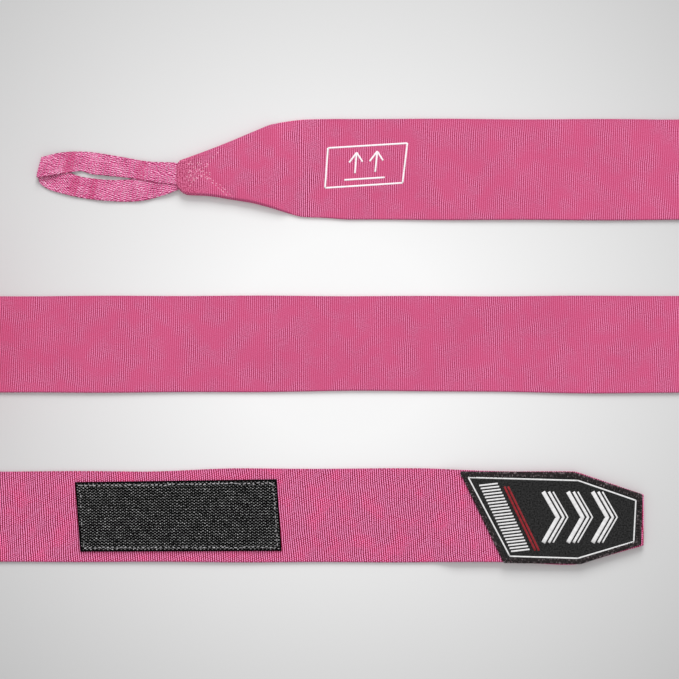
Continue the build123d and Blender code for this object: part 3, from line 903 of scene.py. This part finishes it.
def tip_piece():
    near_tip = TIP_X + np.array((0, 0.15, 0.4, 0.8, 1.3, 1.9, 2.7, 3.6))
    hinge_x = HINGE_X["loop_end_curl_4"]
    stations = [
        near_tip,
        spaced(TIP_X + 4.6, hinge_x - BEND, 1.3),
        spaced(hinge_x - BEND, hinge_x, 0.5)[1:],
        spaced(hinge_x, TIP_CUT_X, 1.2)[1:],
    ]
    x = np.concatenate(stations)[:, None]
    rise = tip_rise(x)
    radius = rise / 2
    edges = {1: top_edge(0, x), -1: bottom_edge(0, x)}
    under = {side: smooth((UNDER_FROM_X[side] - x) / 7) for side in (1, -1)}
    ends = {}
    for side, turned in under.items():
        reach = radius * np.sin(np.minimum(pi * turned, pi / 2))
        ends[side] = edges[side] - side * (HALF_T + reach)
    y = ends[-1] + (ends[1] - ends[-1]) * SHARES
    open_edge = np.where(COLUMNS > 0, 1 - under[1], 1 - under[-1])
    z = HALF_T + rise * (1 - open_edge * np.abs(COLUMNS) ** 3) - seam_dip(x, y)
    # The top of the tip as y, z, lean, v and distance from the edge, then the same for each corner
    pieces = {0: (y, z, np.zeros_like(y), y - ROW_Y[0], np.minimum(edges[1] - y, y - edges[-1]))}
    share = np.linspace(0, 1, 8)[1:]
    for side, column in ((1, -1), (-1, 0)):
        turned = pi * under[side]
        angle = turned * share
        arc_y = y[:, [column]] + side * radius * np.sin(angle)
        arc_z = z[:, [column]] - radius * (1 - np.cos(angle))
        arc_v = y[:, [column]] - ROW_Y[0] + side * radius * angle
        gone = np.maximum(side * (ends[side] - under_edge(x, side)) - HALF_T, 0)
        gone = gone * smooth((FLAP_FROM_X - x) / 4)
        run = np.maximum(gone, 0.01) * share  # never nothing, because the edge's round follows it
        flap_y = arc_y[:, -1:] + side * run * np.cos(turned)
        flap_z = arc_z[:, -1:] - run * np.sin(turned)
        lean = np.hstack([angle, np.broadcast_to(turned, run.shape)])
        pieces[side] = (
            np.hstack([arc_y, flap_y]),
            np.maximum(np.hstack([arc_z, flap_z]), HALF_T),
            side * lean,
            np.hstack([arc_v, arc_v[:, -1:] + side * run]),
            np.hstack([np.zeros_like(angle), np.full_like(run, 5.0)]),
        )
    pieces[-1] = [values[:, ::-1] for values in pieces[-1]]
    y, z, lean, v, from_edge = map(np.hstack, zip(pieces[-1], pieces[0], pieces[1]))
    convex = 0.7 * np.clip(1 - ((y - 85) / 7) ** 2, 0, 1) * smooth(1 - (x - TIP_X) / 4)
    middle = np.stack([x - convex, y, z], axis=-1)
    normals = np.stack([np.zeros_like(y), np.sin(lean), np.cos(lean)], axis=-1)
    u = np.broadcast_to(x, y.shape)
    # The painted edge shade also runs round the tip's end
    from_edge = np.minimum(from_edge, x - TIP_X + 0.1)
    piece = shell("strap_tip_cloth", middle, u, v, strap_weave_tip, normals, edge=from_edge)
    bend_at(piece)
    declare_cloth(piece, ["tapered_end"], "elastic_weave", u, v, "folded", floor)


# ---- The thumb loop: one tape, doubled back on itself, with both ends sewn into the tip ----
TAPE_HALF = 0.29
TAPE_LIE = 0.32  # middle surface of the tape on the table
TAPE_OVER = 0.62  # and how much higher where it lies on itself
FAR_RISE = 1.5  # and how much more at the far end, where the fold stands open
TAPE_IN_TIP = STRAP_T + 0.3
TAPE_END_X = -10.0
TAPE_STATIONS = 90  # on each of its two runs
# Edges of the tape, out to the fold at the far end and back. The first of each pair is the edge
# that faces away from the thumb hole on the way out.
TAPE_OUT_EDGES = (
    ((TAPE_END_X, 90.6), (-30, 90.8), (-36.1, 91.8), (-51, 92.6), (-66.4, 95.2), (-86.2, 97.8),
     (-98, 97), (-105.3, 95.1)),
    ((TAPE_END_X, 80.4), (-30, 80.5), (-47, 82.3), (-60.4, 84.5), (-74, 85.9), (-81, 86.7),
     (-85.6, 88.1), (-92, 87.4), (-108.3, 84.7)),
)
TAPE_BACK_EDGES = (
    ((-105.3, 95.1), (-98, 91), (-90, 86), (-78, 83.6), (-61.3, 83.3), (-50, 85), (-36, 88),
     (TAPE_END_X, 89.8)),
    ((-108.3, 84.7), (-107.4, 81.9), (-104.6, 79.7), (-94, 76.1), (-73.2, 72.8), (-53.2, 73),
     (-43.1, 75.6), (-30, 80.2), (TAPE_END_X, 80.3)),
)


def through(points, count):
    """Points along a smooth curve through a few points, evenly parted by their distances."""
    points = np.array(points, float)
    at = run_along(points)
    slopes = np.gradient(points, at, axis=0)
    t = np.linspace(0, at[-1], count)
    return np.stack([cubic(at, *curve, t) for curve in zip(points.T, slopes.T)], axis=-1)


def tape_back_z(x):
    """Height of the tape's lower run: on the table, and up into the tip."""
    lift = 0.1 * np.exp(-(((x + 76) / 9) ** 2))
    return TAPE_LIE + (TAPE_IN_TIP - TAPE_LIE) * smooth((x - TIP_X + 14) / 13) + lift


def tape_out_z(x):
    """Height of the upper run: over the lower one at both ends, on the table beside the hole."""
    apart = smooth((-60 - x) / 8) * smooth((x + 92) / 8)
    lift = 0.2 * np.exp(-(((x + 74) / 10) ** 2))
    return tape_back_z(x) + TAPE_OVER * (1 - apart) + lift * apart + FAR_RISE * smooth((-93 - x) / 10)


def tape_run(edges, heights):
    columns = (1 + np.sin(np.linspace(-pi / 2, pi / 2, 13))) / 2
    first, second = (through(points, TAPE_STATIONS)[:, None] for points in edges)
    plan = first + (second - first) * columns[:, None]
    z = heights(plan[..., 0]) + 0.12 * np.sin(pi * columns)
    return np.concatenate([plan, z[..., None]], axis=-1)


def thumb_loop_piece():
    out = tape_run(TAPE_OUT_EDGES, tape_out_z)
    back = tape_run(TAPE_BACK_EDGES, tape_back_z)
    bend = (out[-1, :, 2] - back[0, :, 2]) / 2
    bulge = bend * np.sqrt(1 - np.linspace(0, 1, len(bend)) ** 4)  # none at the corner by the hole
    angle = np.linspace(0, pi, 9)[1:-1, None]
    round_fold = np.repeat(out[-1:], len(angle), axis=0)
    round_fold[..., 0] -= bulge * np.sin(angle)
    round_fold[..., 2] -= bend * (1 - np.cos(angle))
    middle = np.concatenate([out, round_fold, back])
    middle[..., 2] += 0.12 * np.sin(middle[..., 0] / 3.1) * smooth((-44 - middle[..., 0]) / 10) + 0.05
    across = np.linalg.norm(middle - middle[:, :1], axis=2)
    along = run_along(middle[:, middle.shape[1] // 2])
    u = np.broadcast_to(along[:, None], across.shape)
    piece = shell("thumb_loop_tape", middle, u, across, knit, half=TAPE_HALF)
    bend_at(piece)
    below = ("table_top", "strap_tip_cloth")
    declare_cloth(piece, ["thumb_loop", "loop_tape_tail"], "loop_tape", u, across, "folded", below)


# ---- Stitches ----
SEWN_PITCH = 2.3  # of the seams round the hook tape and the loop patch
TIP_SEAM_PITCH = 1.9
TIP_THREAD_R = 0.24
ZIGZAG_COUNT = 44
ZIGZAG_X, ZIGZAG_Y = (-31, -18.5), (82.5, 92.5)


def stitches(places, directions, length, lift, radius):
    """Paths of short stitches that come up out of the cloth and go back in."""
    t = np.linspace(-0.5, 0.5, 5)[:, None]
    paths = np.array(places)[:, None] + np.array(directions)[:, None] * t * length
    paths[..., 2] += lift * (1 - (2 * t[:, 0]) ** 2) - radius * 0.6
    return paths


def along_line(start, end, pitch):
    """Places every pitch mm along a line, and their direction."""
    start, end = np.array([(*start, 0), (*end, 0)])
    length = np.linalg.norm(end - start)
    count = max(1, round(length / pitch))
    t = (np.arange(count)[:, None] + 0.5) / count
    return start + (end - start) * t, np.repeat([(end - start) / length], count, axis=0)


def sides_of(outline):
    """The sides of a closed outline, each as its start and its end."""
    return list(zip(outline, np.roll(outline, -1, axis=0)))


def sewn_outline(name, outline, sunk, uneven, z, length, lift, radius):
    """Stitches round an outline at height z. They are sunk into the cloth by the value for their
    side and up to uneven more. With lift below 0 they stand out of the underside of the cloth."""
    places, directions = [], []
    down = 1 if lift > 0 else -1
    for (start, end), side_sunk in zip(sides_of(outline), sunk):
        more, ways = along_line(start, end, SEWN_PITCH)
        places += [place - (0, 0, down * (side_sunk + random.uniform(0, uneven))) for place in more]
        directions += [way + random.normal(0, 0.12, 3) * (1, 1, 0) for way in ways]
    places = np.array(places) + (0, 0, z)
    places[:, :2] += random.normal(0, 0.16, (len(places), 2))
    return threads(name, stitches(settle(places), directions, length, lift, radius), radius, grey_thread)


def tip_stitch_piece():
    """The seam across the tip, a second row beside its end, a row that mirrors it, and the loose
    zigzag that holds the tape."""
    places, directions = [], []
    for start, end in (SEAM_LINE, *OTHER_SEAMS):
        more, ways = along_line(start, end, TIP_SEAM_PITCH)
        places += list(more)
        directions += list(ways)
    for _ in range(ZIGZAG_COUNT):
        turn = radians(random.uniform(40, 140))
        places.append((random.uniform(*ZIGZAG_X), random.uniform(*ZIGZAG_Y), 0))
        directions.append((cos(turn), sin(turn), 0))
    places = np.array(places) + random.normal(0, 0.32, (len(places), 3)) * (1, 1, 0)
    x, y, _ = places.T
    sunk = random.uniform(0, 0.16, len(places))
    places[:, 2] = STRAP_T + tip_rise(x) - seam_dip(x, y) + ripple(x, y) - sunk
    paths = stitches(places, directions, length=0.62, lift=0.26, radius=TIP_THREAD_R)
    piece = threads("tip_stitches", paths, TIP_THREAD_R, pink_thread)
    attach(piece, "taper")


# ---- The closure tab: strap, label on top, hook tape underneath ----
TAB_RAMP_END = 110.0
FINE_FROM_X = 168.0  # closer stations from here on, where the tab narrows


def tab_rise(x):
    return (TAB_Z - HALF_T) * smooth((x - HINGE_X["tab_fold"]) / (TAB_RAMP_END - HINGE_X["tab_fold"]))


def tab_piece():
    near = bend_stations(TAB_CUT_X, FINE_FROM_X, "tab_fold", 1)
    middle = flat_rows(2, np.concatenate([near, spaced(FINE_FROM_X + 1, TAB_END_X, 1.2)]))
    x, y, z = np.moveaxis(middle, 2, 0)
    z += tab_rise(x)
    u = x + u_row_2
    v = y - ROW_Y[2]
    from_edge = np.minimum(top_edge(2, x) - y, y - bottom_edge(2, x))
    piece = shell("strap_tab_cloth", middle, u, v, strap_weave_open, edge=from_edge)
    bend_at(piece)
    below = ("hook_tape_cloth", "table_top")
    declare_cloth(piece, ["strap_tab"], "elastic_weave", u, v, "laid", below)


# Outline of the label and its border, from the upper left corner clockwise
LABEL = ((110.8, -68.2), (169.2, -68.5), (204.6, -80.0), (203.9, -105.4), (173.0, -115.4), (133.3, -114.8))
BORDER = ((114.7, -70.9), (171.6, -72.5), (201.5, -82.8), (200.4, -104.2), (171.4, -112.8), (136.2, -111.7))


def cross(first, second):
    """Z of the cross product of plan vectors."""
    return first[..., 0] * second[..., 1] - first[..., 1] * second[..., 0]


def inset(outline, distance):
    """A convex outline, clockwise, with each side moved in by distance."""
    outline = np.array(outline)
    ways = np.roll(outline, -1, axis=0) - outline
    ways /= np.linalg.norm(ways, axis=1, keepdims=True)
    starts = outline + distance * ways[:, ::-1] * (1, -1)
    before, way_before = np.roll(starts, 1, axis=0), np.roll(ways, 1, axis=0)
    reach = cross(starts - before, ways) / cross(way_before, ways)
    return before + way_before * reach[:, None]


def inside(outline, place):
    """Whether a place is inside a convex clockwise outline."""
    return np.all(cross(np.roll(outline, -1, axis=0) - outline, place - outline) <= 0)


def slab(name, plan, z_low, z_high, material):
    """A flat sheet of cloth over a grid of plan points. Its upper and lower edge are half round."""
    x, y = plan
    middle = np.stack([x, y, np.full_like(x, (z_low + z_high) / 2)], axis=-1)
    return shell(name, middle, x, y, material, half=(z_high - z_low) / 2)


def filled(outline, margin, step=2.0):
    """Plan points in a clockwise outline that has one left and one right edge at each y, in level
    rows. The outermost rows lie margin in from its top and bottom."""
    outline = np.roll(outline, -outline[:, 1].argmax(), axis=0)  # clockwise from its highest corner
    lowest = outline[:, 1].argmin()
    top, bottom = outline[0, 1], outline[lowest, 1]
    rows = np.linspace(bottom + margin, top - margin, ceil((top - bottom) / step))
    right, left = outline[lowest::-1], np.vstack([outline[lowest:], outline[:1]])
    right, left = (np.interp(rows, edge[:, 1], edge[:, 0]) for edge in (right, left))
    x = left + (right - left) * np.linspace(0, 1, ceil((right.max() - left.min()) / step))[:, None]
    return x, np.broadcast_to(rows, x.shape)


def overlock(name, outline, reaches, z_low, z_high):
    """Thread wrapped round the edge of a sheet that reaches in from each side of the outline by its
    own length."""
    paths = []
    for (start, end), reach in zip(sides_of(outline), reaches):
        for place, way in zip(*along_line(start, end, OVERLOCK_PITCH)):
            inward = np.array((way[1], -way[0], 0)) + way * random.normal(0, 0.15)
            length = reach * random.uniform(0.85, 1.12)
            swell = random.uniform(0.1, 0.26)
            steps = (
                (-0.12, z_low), (-0.2, (z_low + z_high) / 2), (0.1, z_high + 0.06),
                (0.5 * length, z_high + swell), (0.85 * length, z_high + 0.1), (length, z_high - 0.1),
            )
            paths.append([place + inward * aside + (0, 0, z) for aside, z in steps])
    return threads(name, settle(paths), OVERLOCK_PITCH * 0.54, black_thread)


def line_threads(name, lines, widths, z, material, height):
    """Flat lines of thread or print on a sheet. Each line is a few plan points, evenly parted."""
    t = np.linspace(0, 1, 25)
    paths = []
    for line in lines:
        at = np.linspace(0, 1, len(line))
        x, y = (np.interp(t, at, values) for values in np.array(line).T)
        paths.append(np.stack([x, y, np.full_like(x, z)], axis=1))
    radius = np.broadcast_to(widths, len(lines))[:, None] / 2
    return threads(name, settle(paths), radius, material, sides=8, flat=height / radius)


LABEL_EDGE = 0.4  # its cloth ends this far inside the outline, under the overlock
OVERLOCK_REACHES = (2.4, 2.2, 2.3, 2.0, 2.1, 1.5)  # of the stitches on each side of the label
OVERLOCK_PITCH = 0.72
BORDER_W, HATCH_W, RED_W = 0.78, 0.85, 1.15
HATCH_Y, HATCH_PITCH = (-109.2, -75.0), 1.55
HATCH_IN = 6.2  # from the label's left edge
HATCH_SIZE = (9.6, 1.1)  # of one slanted line
RED_Y = (-75.6, -108.8)
RED_IN = (19.0, 20.9)  # of the two lines, from the label's left edge
CHEVRON = (7.6, 13.2)  # how far a chevron's point is ahead of its tails, and they are from the middle
CHEVRON_GROUPS_X = (153.5, 166.3, 179.1)
CHEVRON_LINES = ((0.0, 2.2), (2.9, 1.4), (5.1, 0.8))  # place and width of the lines of one group


def label_left(y):
    return line_x((LABEL[0], LABEL[5]), y)


def white_marks(top):
    """The hatched band beside the label's left edge and the nested chevrons."""
    lines, widths = [], []
    for y in np.arange(*HATCH_Y, HATCH_PITCH):
        x = label_left(y) + HATCH_IN
        lines.append(((x, y), (x + HATCH_SIZE[0], y + HATCH_SIZE[1])))
        widths.append(HATCH_W)
    middle_y = (LABEL[0][1] + LABEL[5][1]) / 2
    for group in CHEVRON_GROUPS_X:
        for ahead, width in CHEVRON_LINES:
            tail = group + ahead
            tip = (tail + CHEVRON[0], middle_y)
            lines.append(((tail, middle_y + CHEVRON[1]), tip, (tail, middle_y - CHEVRON[1])))
            widths.append(width)
    return line_threads("label_white_marks", lines, widths, top, white_thread, 0.12)


def label_pieces():
    """A woven label with a plain border, a hatched band, two red lines and nested chevrons."""
    bottom = TAB_Z + HALF_T
    cut = filled(inset(LABEL, LABEL_EDGE), 0.5)
    label = slab("label_cloth_sheet", cut, bottom, LABEL_TOP - 0.15, label_cloth)
    top = LABEL_TOP - 0.12
    edging = overlock("label_overlock", LABEL, OVERLOCK_REACHES, bottom + 0.05, LABEL_TOP - 0.2)
    border = line_threads("label_border_line", sides_of(BORDER), BORDER_W, top, white_thread, 0.14)
    marks = white_marks(top)
    red = [[(label_left(y) + offset, y) for y in RED_Y] for offset in RED_IN]
    stripes = line_threads("label_red_stripes", red, RED_W, top, red_thread, 0.12)
    parts = [edging, border, marks, stripes]
    declare_cloth(label, ["end_label"], "woven_label", *cut, "laid", "strap_tab_cloth", "tab", parts)


TAPE_IN, HOOKS_SEAM_IN, HOOKS_IN = 1.7, 2.8, 3.8  # from the label's outline, which is larger
HOOK_GROUND = 0.8  # thickness of the tape without its hooks
HOOK_R = 0.12
HOOK_SPACING = (1.5, 1.45)  # along a row of hooks and from row to row
HOOK_SHAPE = ((0, 0.85), (0.02, 0.5), (0.1, 0.22), (0.32, 0.13), (0.5, 0.24), (0.52, 0.4))  # x and z


def hook_tape_pieces():
    """Nylon tape under the tab with rows of small hooks that face the table."""
    outline, hooked = inset(LABEL, TAPE_IN), inset(LABEL, HOOKS_IN)
    cut = filled(outline, HOOK_GROUND / 2)
    tape = slab("hook_tape_cloth", cut, HOOK_T - HOOK_GROUND, HOOK_T, hook_ground)
    low, high = outline.min(axis=0), outline.max(axis=0)
    paths = []
    for row, y in enumerate(np.arange(low[1] + 1.2, high[1] - 1.0, HOOK_SPACING[1])):
        lean = 1 if row % 2 else -1
        for x in np.arange(low[0] + (row % 2) * HOOK_SPACING[0] / 2, high[0], HOOK_SPACING[0]):
            if inside(hooked, (x, y)):
                paths.append([(x + lean * dx, y, z) for dx, z in HOOK_SHAPE])
    hooks = threads("hook_tape_hooks", settle(paths), HOOK_R, hook_nylon, sides=4)
    seam = inset(LABEL, HOOKS_SEAM_IN)
    z = HOOK_T - HOOK_GROUND + 0.1
    sewn = sewn_outline("hook_tape_stitches", seam, [0.0] * 6, 0.1, z, 1.7, -0.25, 0.2)
    declare_cloth(tape, ["hook_tape"], "hook_pile", *cut, "laid", "table_top", "tab", [hooks, sewn])


# ---- The loop patch on row 2 ----
PATCH = ((-89.1, -73.4), (15.5, -71.9), (18.0, -109.1), (-86.4, -109.5))
PATCH_SIZE = (104.5, 37.0)
PILE_PITCH = 1.56  # between rows of yarn
PILE_WAVE = 2.1  # length of one zigzag of the yarn
PILE_R = 0.24
PATCH_SEAM_IN = 2.0  # from the patch's outline
PATCH_SEAM_SUNK = (0.2, 0.66, 0.8, 1.1)  # into the pile, on each side of the patch


def within(corners, p, q):
    """A place in a slanted frame, p along it from its upper left corner and q down it, from 0 to 1."""
    a, b, c, d = np.array(corners)
    p, q = np.asarray(p)[..., None], np.asarray(q)[..., None]
    return (a * (1 - p) + b * p) * (1 - q) + (d * (1 - p) + c * p) * q


def pile_rows(ground):
    """Rows of zigzag yarn that stands up at every turn and dives under the ground cloth between."""
    length, depth = PATCH_SIZE
    rows = round(depth / PILE_PITCH)
    p = np.linspace(0.008, 0.992, round(length / PILE_WAVE * 8))
    paths = []
    for row in range(rows):
        place = within(PATCH, p, 0.02 + 0.96 * (row + 0.5) / rows)
        x, y = place.T
        drift = 1.2 * np.sin(x / 11 + y / 7) + 0.8 * np.sin(x / 5 - y / 3) + random.uniform(-0.3, 0.3)
        zigzag = np.arcsin(np.sin(2 * pi * x / PILE_WAVE + drift)) / (pi / 2)
        y += 0.36 * zigzag + random.normal(0, 0.06, len(p))
        height = 0.72 + 0.2 * np.sin(x / 2.3 + 5 * y) - 1.9 * (1 - np.abs(zigzag))
        paths.append(np.column_stack([place, ground + height + random.normal(0, 0.08, len(p))]))
    return paths


def loop_patch_pieces():
    ground = STRAP_T + PATCH_T * 0.5
    across = np.linspace(0.986, 0.014, 19)  # the half round edges are outside of this
    cut = np.moveaxis(within(PATCH, np.linspace(0, 1, 53)[:, None], across), 2, 0)
    base = slab("loop_patch_cloth", cut, STRAP_T, ground, nylon)
    loops = threads("loop_patch_pile", settle(pile_rows(ground)), PILE_R, pile)
    seam = inset(PATCH, PATCH_SEAM_IN)
    top = STRAP_T + PATCH_T + 0.15
    sewn = sewn_outline("loop_patch_stitches", seam, PATCH_SEAM_SUNK, 0.55, top, 1.2, 0.25, 0.26)
    below = "strap_closure_row_cloth"
    declare_cloth(base, ["loop_patch"], "loop_pile", *cut, "laid", below, "root", [loops, sewn])


# ---- The print on row 0: a slanted frame with a generic this-way-up sign ----
PRINT = ((42.0, 99.9), (83.2, 102.4), (80.7, 81.8), (40.5, 79.2))
PRINT_W = 0.95


def print_piece():
    lines = sides_of(PRINT)
    for p in (0.37, 0.63):
        head = within(PRINT, p, 0.16)
        tails = [(p, 0.68), (p - 0.085, 0.4), (p + 0.085, 0.4)]  # of the arrow's shaft and barbs
        lines += [(within(PRINT, *tail), head) for tail in tails]
    lines.append((within(PRINT, 0.24, 0.83), within(PRINT, 0.76, 0.83)))
    sign = line_threads("this_way_up_print", lines, PRINT_W, STRAP_T, white_print, 0.1)
    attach(sign, "loop_end_3")


tip_piece()
thumb_loop_piece()
tip_stitch_piece()
hook_tape_pieces()
tab_piece()
label_pieces()
loop_patch_pieces()
print_piece()
